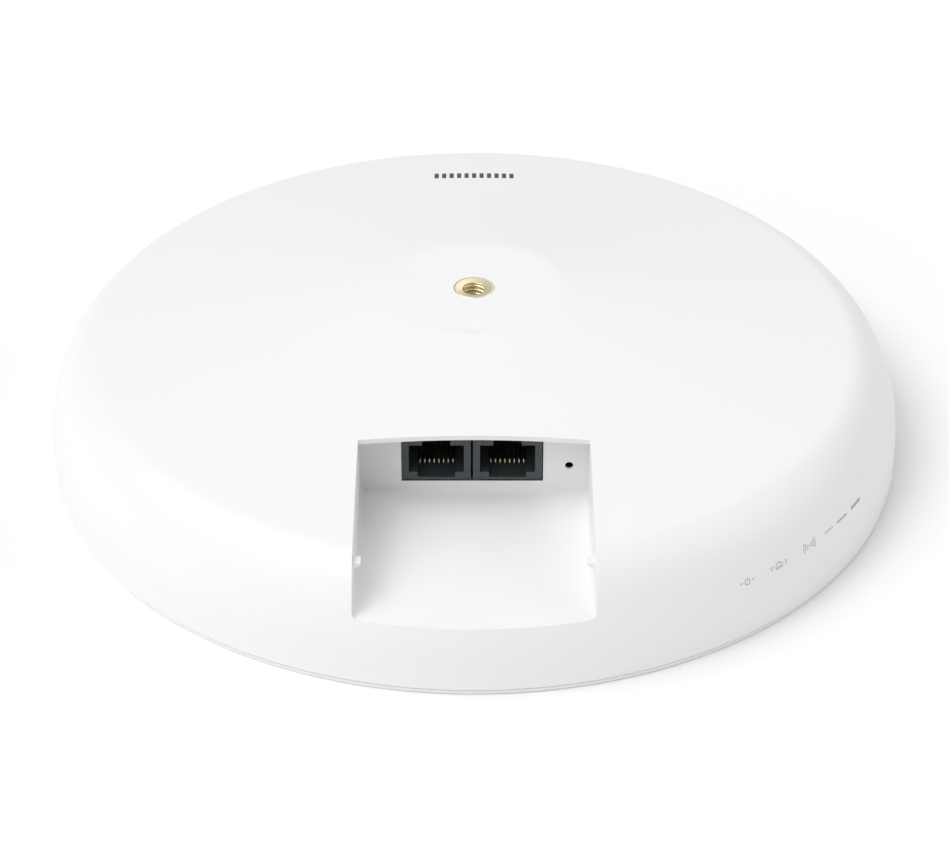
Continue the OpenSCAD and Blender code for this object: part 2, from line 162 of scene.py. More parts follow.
def clean(obj):
    """Merges doubled points and removes the slivers that booleans leave."""
    bm = bmesh.new()
    bm.from_mesh(obj.data)
    bmesh.ops.remove_doubles(bm, verts=bm.verts[:], dist=SLIVER * MM)
    bmesh.ops.dissolve_degenerate(bm, edges=bm.edges[:], dist=SLIVER * MM)
    bm.to_mesh(obj.data)
    bm.free()


def finish_shading(obj, degrees=35):
    """Smooth faces with sharp edges kept, and big faces kept flat beside their rounded edges."""
    obj.data.shade_smooth()
    obj.data.set_sharp_from_angle(angle=math.radians(degrees))
    mod = obj.modifiers.new("normals", "WEIGHTED_NORMAL")
    mod.keep_sharp = True


def polar(r, bearing, z):
    """Point at a bearing counted from -Y towards +X."""
    return Vector((r * math.sin(bearing), -r * math.cos(bearing), z))


def add_grid(bm, rows, close=False):
    """Quads between rows of points."""
    made = [[bm.verts.new(p) for p in row] for row in rows]
    n = len(made[0])
    for a, b in zip(made, made[1:]):
        for i in range(n if close else n - 1):
            j = (i + 1) % n
            bm.faces.new((a[i], a[j], b[j], b[i]))
    return made


def add_revolved(bm, profile, segments):
    """Revolves a closed outline of (radius, height) points about Z; radius 0 ends are capped."""
    rings = []
    for r, z in profile:
        if r < 1e-6:
            rings.append([bm.verts.new((0, 0, z))])
        else:
            rings.append([bm.verts.new(polar(r, 2 * math.pi * k / segments, z)) for k in range(segments)])
    for a, b in zip(rings, rings[1:] + rings[:1]):
        if len(a) == 1 and len(b) == 1:
            continue
        for k in range(segments):
            m = (k + 1) % segments
            if len(a) == 1:
                bm.faces.new((a[0], b[m], b[k]))
            elif len(b) == 1:
                bm.faces.new((a[k], a[m], b[0]))
            else:
                bm.faces.new((a[k], a[m], b[m], b[k]))


def add_prism(bm, outline, axis, start, end):
    """Extrudes a 2-D outline along an axis ('x', 'y' or 'z') between two places."""
    def place(u, v, w):
        return {"x": (w, u, v), "y": (u, w, v), "z": (u, v, w)}[axis]
    a = [bm.verts.new(place(u, v, start)) for u, v in outline]
    b = [bm.verts.new(place(u, v, end)) for u, v in outline]
    n = len(outline)
    bm.faces.new(a)
    bm.faces.new(b)
    for i in range(n):
        j = (i + 1) % n
        bm.faces.new((a[i], a[j], b[j], b[i]))


def rectangle(x0, y0, x1, y1):
    return [(x0, y0), (x1, y0), (x1, y1), (x0, y1)]


def circle(cx, cy, r, segments=48):
    return [(cx + r * math.cos(2 * math.pi * k / segments), cy + r * math.sin(2 * math.pi * k / segments))
            for k in range(segments)]


def add_box(bm, x0, y0, z0, x1, y1, z1):
    add_prism(bm, rectangle(x0, y0, x1, y1), "z", z0, z1)


def bevel(bm, edges, width, segments=4):
    bmesh.ops.bevel(bm, geom=edges, offset=width, offset_type="OFFSET", segments=segments,
                    profile=0.5, affect="EDGES", clamp_overlap=True)


# ---------- materials ----------

def principled(name, color, roughness, **sockets):
    mat = bpy.data.materials.new(name)
    mat.use_nodes = True
    shader = mat.node_tree.nodes["Principled BSDF"]
    shader.inputs["Base Color"].default_value = (*color, 1)
    shader.inputs["Roughness"].default_value = roughness
    for key, value in sockets.items():
        shader.inputs[key.replace("_", " ")].default_value = value
    return mat


def node_of(mat, kind, **values):
    node = mat.node_tree.nodes.new(kind)
    for key, value in values.items():
        if key in node.inputs:
            node.inputs[key].default_value = value
        else:
            setattr(node, key, value)
    return node


def textured(name, color, roughness, grain=4000, bump=0.02, tint=0.02, rough_span=0.05, stretch=None,
             **sockets):
    """Principled surface whose colour, roughness and relief vary with noise in object space."""
    mat = principled(name, color, roughness, **sockets)
    tree, link = mat.node_tree, mat.node_tree.links.new
    shader = tree.nodes["Principled BSDF"]
    coords = node_of(mat, "ShaderNodeTexCoord").outputs["Object"]
    if stretch:
        mapping = node_of(mat, "ShaderNodeMapping", Scale=stretch)
        link(coords, mapping.inputs["Vector"])
        coords = mapping.outputs["Vector"]
    fine = node_of(mat, "ShaderNodeTexNoise", Scale=grain, Detail=3.0, Roughness=0.6)
    broad = node_of(mat, "ShaderNodeTexNoise", Scale=grain / 90, Detail=2.0)
    link(coords, fine.inputs["Vector"])
    link(coords, broad.inputs["Vector"])
    mix = node_of(mat, "ShaderNodeMix", data_type="RGBA")
    mix.inputs["A"].default_value = (*[max(0, c - tint) for c in color], 1)
    mix.inputs["B"].default_value = (*[min(1, c + tint) for c in color], 1)
    link(broad.outputs["Fac"], mix.inputs["Factor"])
    link(mix.outputs["Result"], shader.inputs["Base Color"])
    spread = node_of(mat, "ShaderNodeMapRange")
    spread.inputs["To Min"].default_value = roughness - rough_span
    spread.inputs["To Max"].default_value = roughness + rough_span
    link(fine.outputs["Fac"], spread.inputs["Value"])
    link(spread.outputs["Result"], shader.inputs["Roughness"])
    relief = node_of(mat, "ShaderNodeBump", Strength=bump, Distance=0.0001)
    link(fine.outputs["Fac"], relief.inputs["Height"])
    link(relief.outputs["Normal"], shader.inputs["Normal"])
    return mat


M = {
    "shell_plastic": textured("shell_plastic", (0.89, 0.89, 0.895), 0.42, 5000, 0.10, 0.004),
    "radome_plastic": textured("radome_plastic", (0.89, 0.89, 0.895), 0.36, 5000, 0.06, 0.004),
    "silicone_seal": textured("silicone_seal", (0.10, 0.105, 0.11), 0.7, 3000, 0.1),
    "insert_brass": textured("insert_brass", (0.93, 0.83, 0.58), 0.3, 2500, 0.06, 0.03, Metallic=0.75),
    "jack_plastic": textured("jack_plastic", (0.055, 0.070, 0.073), 0.45, 6000, 0.15, 0.006),
    # carrier_plastic is painted lighter than the jack's own plastic: painted light for the shaded depth of
    # the jacks.
    "carrier_plastic": textured("carrier_plastic", (0.11, 0.13, 0.138), 0.5, 6000, 0.1, 0.003),
    "contact_gold": textured("contact_gold", (0.90, 0.68, 0.34), 0.25, 3000, 0.03, 0.03, Metallic=1.0),
    "contact_wire": textured("contact_wire", (0.96, 0.84, 0.58), 0.34, 3000, 0.03, 0.03, Metallic=1.0),
    "switch_plastic": textured("switch_plastic", (0.02, 0.02, 0.022), 0.45, 5000, 0.1, 0.004),
    # plunger_plastic is near black as painted shade, so that the reset pinhole in front of it reads as a dark
    # hole.
    "plunger_plastic": textured("plunger_plastic", (0.018, 0.018, 0.02), 0.5, 5000, 0.05, 0.003),
    "board_laminate": textured("board_laminate", (0.012, 0.085, 0.035), 0.3, 1500, 0.05, 0.006),
    "plated_steel": textured("plated_steel", (0.60, 0.60, 0.61), 0.3, 2500, 0.05, 0.03, Metallic=1.0),
    "chip_epoxy": textured("chip_epoxy", (0.018, 0.018, 0.020), 0.55, 6000, 0.2, 0.004),
    "ceramic": textured("ceramic", (0.62, 0.58, 0.50), 0.25, 2000, 0.03),
    "winding_tape": textured("winding_tape", (0.60, 0.40, 0.03), 0.3, 1200, 0.05),
    "ferrite": textured("ferrite", (0.045, 0.045, 0.048), 0.5, 4000, 0.2, 0.01),
    "capacitor_can": textured("capacitor_can", (0.62, 0.63, 0.65), 0.3, 2500, 0.04, Metallic=1.0),
    "tinned_steel": textured("tinned_steel", (0.66, 0.66, 0.64), 0.28, 900, 0.05, 0.03, Metallic=1.0),
    "thermal_silicone": textured("thermal_silicone", (0.17, 0.30, 0.48), 0.75, 2500, 0.2),
    "cast_aluminium": textured("cast_aluminium", (0.60, 0.61, 0.62), 0.38, 3000, 0.15, 0.02, Metallic=1.0),
    "nylon": textured("nylon", (0.72, 0.69, 0.60), 0.4, 3000, 0.05),
    "led_resin": textured("led_resin", (0.72, 0.68, 0.45), 0.2, 2500, 0.02),
    "clear_acrylic": textured("clear_acrylic", (0.96, 0.98, 0.98), 0.06, 2000, 0.02, 0.01, 0.02,
                              Transmission_Weight=1.0, IOR=1.49),
    "reflector_aluminium": textured("reflector_aluminium", (0.70, 0.70, 0.71), 0.3, 1500, 0.08, 0.02,
                                    stretch=(1, 0.04, 1), Metallic=1.0),
    "antenna_laminate": textured("antenna_laminate", (0.62, 0.57, 0.40), 0.4, 2500, 0.1, 0.02),
    "copper_foil": textured("copper_foil", (0.72, 0.36, 0.20), 0.28, 2500, 0.05, 0.03, Metallic=1.0),
    "lead_jacket": textured("lead_jacket", (0.02, 0.02, 0.022), 0.35, 3000, 0.03, 0.003),
    "print_ink": textured("print_ink", (0.45, 0.43, 0.415), 0.5, 4000, 0.05, 0.02),
    "print_dark": textured("print_dark", (0.05, 0.05, 0.052), 0.5, 4000, 0.05, 0.01),
}


def fade_plating_and_shade(mat, gold, shaded_nickel, start, end):
    """Gold on the front bends that gives way to a dark nickel towards the wires' tips, along object-space Y;
    the dark end is painted shade, far darker than bare nickel, on the wires' rising part.
    """
    link = mat.node_tree.links.new
    place = node_of(mat, "ShaderNodeSeparateXYZ")
    link(node_of(mat, "ShaderNodeTexCoord").outputs["Object"], place.inputs["Vector"])
    along = node_of(mat, "ShaderNodeMapRange", interpolation_type="SMOOTHSTEP")
    along.inputs["From Min"].default_value = start * MM
    along.inputs["From Max"].default_value = end * MM
    link(place.outputs["Y"], along.inputs["Value"])
    mix = node_of(mat, "ShaderNodeMix", data_type="RGBA")
    mix.inputs["A"].default_value = (*gold, 1)
    mix.inputs["B"].default_value = (*shaded_nickel, 1)
    link(along.outputs["Result"], mix.inputs["Factor"])
    link(mix.outputs["Result"], mat.node_tree.nodes["Principled BSDF"].inputs["Base Color"])


def dress(obj, material, replaces=(), body=ROOT):
    """Gives a new piece its material and its body, and hides the nodes it stands for."""
    obj.data.materials.clear()
    obj.data.materials.append(M[material])
    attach(obj, body)
    if replaces:
        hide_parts(*replaces)
    return obj


# ---------- back cover ----------

POSTS = [(-62, -22), (62, -22), (-50, 48), (50, 48), (0, 72)]
POST_R = 3.5
CORE_R = 1.5                         # cores of the posts, for the stand-offs' threads
CORE_L = 7
BOSS_R = 7                           # boss round the insert
BOSS_L = 14
SEAT_R, SEAT_L = 4.05, 12            # the insert's seat
RIM_SEAT_R, RIM_SEAT_L = 4.55, 0.8
BOARD_TOP = node_box("main_board")[1].z
JACK_LO = node_box("jack_left_housing")[0]
JACK_HI = node_box("jack_right_housing")[1]
PLAY = 0.05                          # between the jacks and their opening
SIDE_PLAY = 0.2                      # the same on the pinhole's side
UNDERCUT = 0.9                       # hollow behind the slit below the jacks
SEAL_TOP = 1.95                      # top of the seal's groove
RESET_X = 20.3
RESET_Z = 22.2
RESET_R = 0.85
RESET_SKIN = 0.6                     # wall thickness at the pinhole
RESET_WIDER = 1.3                    # how much wider the hole is behind it
DIMPLE_Y = 16.4
DIMPLE_R = 2.9
DIMPLE_DEPTH = 0.35
CATCH_Y = 82.1
CATCH_L = 2.4
CATCH_TOP = 25.0
CATCH_OUT = 1.75
CATCH_H = 2.0
CATCH_NOSE = 0.7                     # height of the catch's tip
BED_ROW = 1.4                        # the first row of the skin below the bay's floor
ROUND_ROWS = 24.0                    # the rows above the bay straighten from this radius to the lip


def profile_rows():
    """Rows (radius, height) of the outer skin from the flat down; which are the bay's corner and floor."""
    corner_r = math.hypot(BAY_X, LIP_Y)
    rows = []
    for k in range(9):
        r = FLAT_R + FLAT_BLEND * (k / 4 - 1)
        rows.append((r, H - CONE_SLOPE * (r - FLAT_R + FLAT_BLEND) ** 2 / (4 * FLAT_BLEND)))
    rows += [(r, cone_z(r)) for r in np.linspace(FLAT_R + FLAT_BLEND, corner_r, 14)[1:]]
    corner = len(rows) - 1
    rows += [(r, cone_z(r)) for r in np.linspace(corner_r, CONE_FOOT[0], 12)[1:-1]]
    floor_t = math.asin((BAY_FLOOR + FLOOR_FILLET - SIDE_H) / SHOULDER_H)
    rows += [shoulder(t) for t in np.linspace(SHOULDER_END, floor_t, 14)]
    floor = len(rows) - 1
    low_t = math.asin((BAY_FLOOR - BED_ROW - SIDE_H) / SHOULDER_H)
    rows += [shoulder(t) for t in np.linspace(low_t, 0, 8)]
    rows += [(R, z) for z in np.linspace(SIDE_H, PART_Z, 4)[1:]]
    return [(float(r), float(z)) for r, z in rows], corner, floor


def bay_columns():
    """Sideways places across the bay with the floor's height there, rounded up into the side walls."""
    flat = BAY_X - FLOOR_FILLET
    middle = [(flat * (k / 10 - 1), BAY_FLOOR) for k in range(21)]
    round_up = []
    for a in range(15, 91, 15):
        a = math.radians(a)
        round_up.append((flat + FLOOR_FILLET * math.sin(a), BAY_FLOOR + FLOOR_FILLET * (1 - math.cos(a))))
    return [(-x, z) for x, z in reversed(round_up)] + middle + round_up


def outer_solid():
    """The back cover's outside as one closed solid with the notch of the cable bay, its edges rounded."""
    rows, corner, floor = profile_rows()
    around, columns = 216, bay_columns()
    corner_r = rows[corner][0]
    bm = bmesh.new()

    def edge_bearing(r):
        r = max(r, corner_r)
        return math.asin(mouth_x(r) / r)

    def across(r, z, x):
        return polar(r, math.asin(x / BAY_X * mouth_x(r) / r), z)

    skirt = []
    for r, z in rows:
        b = edge_bearing(r)
        skirt.append([polar(r, b + (2 * math.pi - 2 * b) * k / around, z) for k in range(around + 1)])
    outside = add_grid(bm, skirt)
    sector = []
    for r0, z0 in rows[:corner + 1]:
        share = max(0.0, (r0 - ROUND_ROWS) / (corner_r - ROUND_ROWS))
        line = []
        for x, _ in columns:
            b = math.atan2(x, LIP_Y)
            r = r0 + (LIP_Y / math.cos(b) - corner_r) * share
            line.append(polar(r, b, cone_z(r) if share else z0))
        sector.append(line)
    top = add_grid(bm, sector)
    sill = []
    for x, z in columns:
        r, _ = shoulder(math.asin((z - SIDE_H) / SHOULDER_H))
        sill.append(across(r, z, x))
    add_grid(bm, [sill] + [[across(r, z, x) for x, _ in columns] for r, z in rows[floor + 1:]])
    bed = add_grid(bm, [[Vector((x, -LIP_Y, z)) for x, z in columns], sill])
    bm.faces.new(top[-1] + bed[0][::-1])
    bm.faces.new([row[0] for row in outside[corner:floor + 1]] + [bed[0][-1]])
    bm.faces.new([row[-1] for row in outside[corner:floor + 1]] + [bed[0][0]])

    def bearing_of(vert):
        return math.atan2(vert.co.x, -vert.co.y)

    bm.faces.new(sorted(outside[0] + top[0][1:-1], key=bearing_of))
    low = [v for v in bm.verts if abs(v.co.z - PART_Z) < 1e-6]
    bmesh.ops.remove_doubles(bm, verts=low, dist=1e-4)
    low = [v for v in bm.verts if abs(v.co.z - PART_Z) < 1e-6]
    bm.faces.new(sorted(low, key=bearing_of))
    bmesh.ops.remove_doubles(bm, verts=bm.verts[:], dist=1e-4)
    bmesh.ops.recalc_face_normals(bm, faces=bm.faces[:])

    def sharp(edge):
        return len(edge.link_faces) == 2 and edge.calc_face_angle() > math.radians(24)

    def upright(edge):
        d = edge.verts[0].co - edge.verts[1].co
        return abs(d.z) > 10 * math.hypot(d.x, d.y) and d.length > 5

    bevel(bm, [e for e in bm.edges if sharp(e) and upright(e)], CORNER_ROUND, 3)
    seam = PART_Z + 1
    high = [e for e in bm.edges if sharp(e) and e.is_convex and min(v.co.z for v in e.verts) > seam]
    bevel(bm, high, EDGE_ROUND)
    low = [e for e in bm.edges if sharp(e) and e.is_convex and max(v.co.z for v in e.verts) < seam]
    bevel(bm, low, LOW_ROUND, 3)
    return mesh_object("back_cover_shell", bm)


def lip_pocket():
    """The space under the overhanging lip, in front of the jack wall."""
    columns = [(x * 0.998, z + 0.01) for x, z in bay_columns()]
    front, back = -LIP_Y - 2.2, -BAY_WALL_Y
    ys = [front + (back - front) * k / 8 for k in range(9)]
    bm = bmesh.new()
    top = add_grid(bm, [[Vector((x, y, cone_z(math.hypot(x, y)) - LIP_T)) for x, _ in columns] for y in ys])
    low = add_grid(bm, [[Vector((x, y, z)) for x, z in columns] for y in (front, back)])
    bm.faces.new(top[0] + low[0][::-1])
    bm.faces.new(top[-1] + low[1][::-1])
    for i in (0, -1):
        bm.faces.new([row[i] for row in top] + [low[1][i], low[0][i]])
    return mesh_object("pocket", bm)


def cavity():
    """The back cover's hollow inside; the bay's tub, the posts and the insert's boss are left standing."""
    profile = [(0, -1), (FLANGE_R, -1), (FLANGE_R, FLANGE_H), (R - WALL, FLANGE_H)]
    profile += [shoulder(SHOULDER_END * k / 14, WALL) for k in range(15)]
    profile += [(FLAT_R, H - WALL), (0, H - WALL)]
    bm = bmesh.new()
    add_revolved(bm, profile, 144)
    hollow = mesh_object("hollow", bm)
    bm = bmesh.new()
    add_box(bm, -BAY_X - WALL, -R - 5, BAY_FLOOR - WALL, BAY_X + WALL, -BAY_WALL_Y + WALL, H + 5)
    combine(hollow, mesh_object("tub", bm), "DIFFERENCE")
    bm = bmesh.new()
    for x, y in POSTS:
        add_prism(bm, circle(x, y, POST_R), "z", BOARD_TOP, H + 5)
    add_prism(bm, circle(0, 0, BOSS_R), "z", H - BOSS_L, H + 5)
    combine(hollow, mesh_object("posts", bm), "DIFFERENCE")
    return hollow


def openings():
    """Cutters for the jacks, the insert, the seal and the posts' cores."""
    bm = bmesh.new()
    face, inside = -BAY_WALL_Y, -BAY_WALL_Y + WALL + 1
    low, high = BOARD_TOP - JACK_SLIT, JACK_HI.z + PLAY
    outline = [(face - 1, low), (face + 0.1, low), (face + 0.4, low - UNDERCUT), (inside, low - UNDERCUT)]
    outline += [(inside, high), (face - 1, high)]
    add_prism(bm, outline, "x", JACK_LO.x - PLAY, JACK_HI.x + SIDE_PLAY)
    seat = [(0, H - SEAT_L), (SEAT_R, H - SEAT_L), (SEAT_R, H - RIM_SEAT_L), (RIM_SEAT_R, H - RIM_SEAT_L)]
    seat += [(RIM_SEAT_R, H + 1), (0, H + 1)]
    add_revolved(bm, seat, 96)
    for x, y in POSTS:
        add_prism(bm, circle(x, y, CORE_R, 32), "z", BOARD_TOP - 1, BOARD_TOP + CORE_L)
    add_revolved(bm, rectangle(SEAL_IN, 0, SEAL_OUT, SEAL_TOP), 216)
    return mesh_object("openings", bm)


def pinhole():
    """The reset hole: a thin skin with a softened edge, opened out behind it."""
    r, wide, deep = RESET_R, RESET_R + RESET_WIDER, WALL + 1
    profile = [(0, -1), (r + 0.1, -1), (r + 0.1, 0), (r, 0.12), (r, RESET_SKIN), (wide, RESET_SKIN)]
    profile += [(wide, deep), (0, deep)]
    bm = bmesh.new()
    add_revolved(bm, profile, 48)
    bm.transform(Matrix.Translation((RESET_X, -BAY_WALL_Y, RESET_Z)) @ Matrix.Rotation(-math.pi / 2, 4, "X"))
    return mesh_object("pinhole", bm)


def dimple():
    """A shallow dish beside the insert."""
    ball = (DIMPLE_R ** 2 + DIMPLE_DEPTH ** 2) / (2 * DIMPLE_DEPTH)
    reach = math.asin(DIMPLE_R / ball) * 1.5
    dish = []
    for k in range(13):
        a = reach * k / 12
        dish.append((ball * math.sin(a), H - DIMPLE_DEPTH + ball * (1 - math.cos(a))))
    bm = bmesh.new()
    add_revolved(bm, dish + [(0, dish[-1][1])], 64)
    bm.transform(Matrix.Translation((0, -DIMPLE_Y, 0)))
    return mesh_object("dimple", bm)


def catches():
    """The two catches for a bay cover, on the side walls."""
    bm = bmesh.new()
    for side in (-1, 1):
        x = side * bay_half(-CATCH_Y)
        tip = x - side * CATCH_OUT
        outline = [(x + side, CATCH_TOP - CATCH_H), (x, CATCH_TOP - CATCH_H), (tip, CATCH_TOP - CATCH_NOSE)]
        outline += [(tip, CATCH_TOP), (x + side, CATCH_TOP)]
        add_prism(bm, outline, "y", -CATCH_Y - CATCH_L / 2, -CATCH_Y + CATCH_L / 2)
    bmesh.ops.recalc_face_normals(bm, faces=bm.faces[:])
    bevel(bm, [e for e in bm.edges if any(abs(v.co.x) < BAY_X - 0.5 for v in e.verts)], 0.18, 3)
    return mesh_object("catches", bm)


def back_cover():
    shell = outer_solid()
    combine(shell, cavity(), "DIFFERENCE")
    combine(shell, lip_pocket(), "DIFFERENCE")
    combine(shell, openings(), "DIFFERENCE")
    combine(shell, pinhole(), "DIFFERENCE")
    combine(shell, dimple(), "DIFFERENCE")
    combine(shell, catches(), "UNION")
    clean(shell)
    finish_shading(shell)
    dress(shell, "shell_plastic", replaces=["back_cover"])


back_cover()

# ---------- front cover ----------

COVER_RIM = 1.1                      # height of the front cover's rim
COVER_CORNER = 0.45                  # rounding between its face and its side
COVER_SHELL = 2.0                    # thickness of its face
GROOVE_Z = 0.7                       # bottom of the seal's groove
TONGUE_R = 91.4
TONGUE_T = 1.8
HOOKS = 8
HOOK_DEG = 9


def front_cover():
    """The front face with its rim, the seal's groove and the tongue with its hooks."""
    rim, tongue, top = R - 0.3, TONGUE_R, COVER_HI.z
    outline = [(0, 0)]
    for a in range(0, 91, 15):
        a = math.radians(a)
        outline.append((rim - COVER_CORNER * (1 - math.sin(a)), COVER_CORNER * (1 - math.cos(a))))
    outline += [(rim + 0.12, COVER_RIM - 0.2), (rim + 0.08, COVER_RIM), (SEAL_OUT, COVER_RIM)]
    outline += [(SEAL_OUT, GROOVE_Z), (SEAL_IN, GROOVE_Z), (SEAL_IN, COVER_RIM), (tongue, COVER_RIM)]
    outline += [(tongue, top - 0.2), (tongue - 0.2, top), (tongue - TONGUE_T, top)]
    outline += [(tongue - TONGUE_T, COVER_SHELL), (0, COVER_SHELL)]
    hook = [(-0.5, 3.7), (0.5, 3.7), (0.8, 4.0), (0.8, 4.4), (0.1, 5.0), (-0.5, 5.0)]
    bm = bmesh.new()
    add_revolved(bm, outline, 288)
    for k in range(HOOKS):
        middle = 2 * math.pi * (k + 0.5) / HOOKS
        span = [middle + math.radians(HOOK_DEG) * (j / 8 - 0.5) for j in range(9)]
        rows = []
        for b in span:
            ring = [(tongue + out, z) for out, z in hook]
            rows.append([Vector((r * math.cos(b), r * math.sin(b), z)) for r, z in ring])
        rows = add_grid(bm, rows, close=True)
        bm.faces.new(rows[0])
        bm.faces.new(rows[-1][::-1])
    cover = mesh_object("front_cover_shell", bm)
    finish_shading(cover)
    dress(cover, "radome_plastic", replaces=["front_cover"])


front_cover()

# ---------- threaded insert ----------

THREAD_R = 2.5
THREAD_DEPTH = 0.5
PITCH = 1.0
THREAD_START = 0.12                  # where the thread's groove runs out, in turns of 1 mm
DISH = 0.25                          # depth of the insert's dished top
THREAD_LEAD = 0.12                   # rounded edge between the dished top and the thread
BARREL_R = 3.95
GROOVE_R = 3.5
RIM_R = 4.5
RIM_T = 0.8
INSERT_LOW = node_box("threaded_insert")[0].z


def thread_radius(bearing, z):
    """Radius of the M6 thread's surface: crests at the bore, rounded roots outside."""
    phase = ((z + THREAD_START) / PITCH - bearing / (2 * math.pi)) % 1.0
    ramp = abs(2 * phase - 1)
    cut = THREAD_DEPTH * min(1.0, max(0.0, (ramp - 0.28) / 0.62))
    down = min(1.0, (H - DISH - z) / THREAD_LEAD)
    lead = THREAD_LEAD * (1 - math.sqrt(1 - (1 - down) ** 2))
    return max(THREAD_R + cut * down, THREAD_R + lead)


def threaded_insert():
    """A brass insert with a rim, two anchoring grooves, a barrel, a dished top and a real thread."""
    segments, steps = 96, 14
    low, top, seat = INSERT_LOW, H, H - RIM_T
    rings = [(0.01, low), (BARREL_R - 0.25, low), (BARREL_R, low + 0.25)]
    for z in (low + 3, low + 7):
        rings += [(BARREL_R, z), (GROOVE_R, z + 0.05), (GROOVE_R, z + 1.15), (BARREL_R, z + 1.2)]
    rings += [(BARREL_R, seat), (RIM_R - 0.1, seat), (RIM_R, seat + 0.1), (RIM_R, top - 0.16)]
    rings += [(RIM_R - 0.08, top - 0.05), (RIM_R - 0.16, top), (RIM_R - 0.4, top), (RIM_R - 0.6, top - 0.03)]
    mouth = top - DISH
    rings += [(THREAD_R + THREAD_LEAD + 0.05, mouth + 0.01)]
    depth = int((mouth - low - 2) * steps)
    rings += [(None, mouth - k / steps) for k in range(depth)]
    rings += [(0.01, mouth - (depth - 1) / steps - 0.4)]
    bearings = [2 * math.pi * k / segments for k in range(segments)]
    bm = bmesh.new()
    rows = []
    for r, z in rings:
        rows.append([polar(r or thread_radius(b, z), b, z) for b in bearings])
    made = add_grid(bm, rows, close=True)
    bm.faces.new(made[0])
    bm.faces.new(made[-1])
    insert = mesh_object("insert_with_thread", bm)
    finish_shading(insert, 50)
    dress(insert, "insert_brass", replaces=["threaded_insert"])


threaded_insert()

# ---------- jacks ----------

JACK_W = node_box("jack_left_housing")[1].x - JACK_LO.x
JACK_L = node_box("jack_left_housing")[1].y - JACK_LO.y
JACK_TOP = JACK_HI.z - BOARD_TOP
PORT_W, PORT_Z, PORT_H, PORT_L = 11.7, 1.95, 6.7, 12.65
CHANNEL_W, CHANNEL_Z = 7.9, 0.6
KEY_W, KEY_H, KEY_L = 6.0, 2.1, 9.7
KEY2_W, KEY2_H = 3.4, 1.1
CONTACT_PITCH = 1.016
BEND_Y = 5.6                         # hinge of the contacts, from the jack's face
PEG_X, PEG_Y, PEG_R = 5.72, 8.9, 1.6
TIP_Y, TIP_Z = 12.0, 4.0             # tips of the contacts, from the jack's face and from the board
WIRE_W, WIRE_T = 0.32, 0.3
WIRE_FRONT = 4.95                    # front of the wires, from the jack's face
WIRE_FACE = 0.65                     # length of the leaning front face


def mirrored(outline):
    """Closes a half outline (x >= 0, from bottom to top) to both sides."""
    return outline + [(-x, z) for x, z in reversed(outline)]


def jack_housing(name, node):
    """One jack: the stepped opening cut into a block with rounded edges, on two pegs."""
    lo, hi = node_box(node)
    bm = bmesh.new()
    add_box(bm, -JACK_W / 2, 0, 0, JACK_W / 2, JACK_L, JACK_TOP)
    body = mesh_object(name, bm, 1)
    key, key2 = PORT_Z + PORT_H, PORT_Z + PORT_H + KEY_H
    lower = [(CHANNEL_W / 2, CHANNEL_Z), (CHANNEL_W / 2, PORT_Z), (PORT_W / 2, PORT_Z), (PORT_W / 2, key)]
    upper = [(KEY_W / 2, key), (KEY_W / 2, key2), (KEY2_W / 2, key2), (KEY2_W / 2, key2 + KEY2_H)]
    for outline, depth in ((mirrored(lower + upper), KEY_L), (mirrored(lower), PORT_L)):
        bm = bmesh.new()
        add_prism(bm, outline, "y", -1, depth)
        combine(body, mesh_object("opening", bm, 1), "DIFFERENCE")
    bm = bmesh.new()
    bm.from_mesh(body.data)
    bmesh.ops.remove_doubles(bm, verts=bm.verts[:], dist=1e-4)
    bmesh.ops.dissolve_limit(bm, angle_limit=0.01, verts=bm.verts[:], edges=bm.edges[:])

    def on_edge(vert):
        return abs(vert.co.x) > JACK_W / 2 - 0.01 or vert.co.z > JACK_TOP - 0.01

    def on_face(vert):
        return abs(vert.co.y) < 1e-3

    sharp = [e for e in bm.edges if e.calc_face_angle(0) > 0.5]
    bevel(bm, [e for e in sharp if all(map(on_edge, e.verts)) or all(map(on_face, e.verts))], 0.13, 2)
    for side in (-1, 1):
        add_prism(bm, circle(side * PEG_X, PEG_Y, PEG_R, 32), "z", lo.z - BOARD_TOP, 0.2)
    bm.transform(Matrix.Translation(((lo.x + hi.x) / 2, lo.y, BOARD_TOP)))
    bmesh.ops.recalc_face_normals(bm, faces=bm.faces[:])
    bm.transform(Matrix.Scale(MM, 4))
    bm.to_mesh(body.data)
    bm.free()
    finish_shading(body)
    dress(body, "jack_plastic", replaces=[node])


def wire_path():
    """Middle line (depth, height, normal's angle) of a contact.

    It has a bend at the bottom, a leaning front face and a straight rise to its tip.
    """
    bend, lean = 0.2, 147
    y, z = WIRE_FRONT + WIRE_T / 2 + bend, CHANNEL_Z + 0.05 + WIRE_T / 2 + bend
    path = []
    for a in (285, 270, 250, 230, 210, 190, 168, lean):
        a = math.radians(a)
        path.append((y + bend * math.cos(a), z + bend * math.sin(a), a))
    lean = math.radians(lean)
    y, z = y + WIRE_FACE * math.sin(lean), z - WIRE_FACE * math.cos(lean)
    tip_z = TIP_Z + WIRE_T / 2
    last = math.pi / 2 + math.atan2(tip_z - z - bend, TIP_Y - y)
    for k in range(6):
        a = lean + (last - lean) * k / 5
        path.append((y + bend * math.cos(a), z + bend * math.sin(a), a))
    y, z, a = path[-1]
    for step in (0.03, 0.4, 0.7, 0.9, 1.0):
        path.append((y + (TIP_Y - y) * step, z + (tip_z - z) * step, a))
    return path


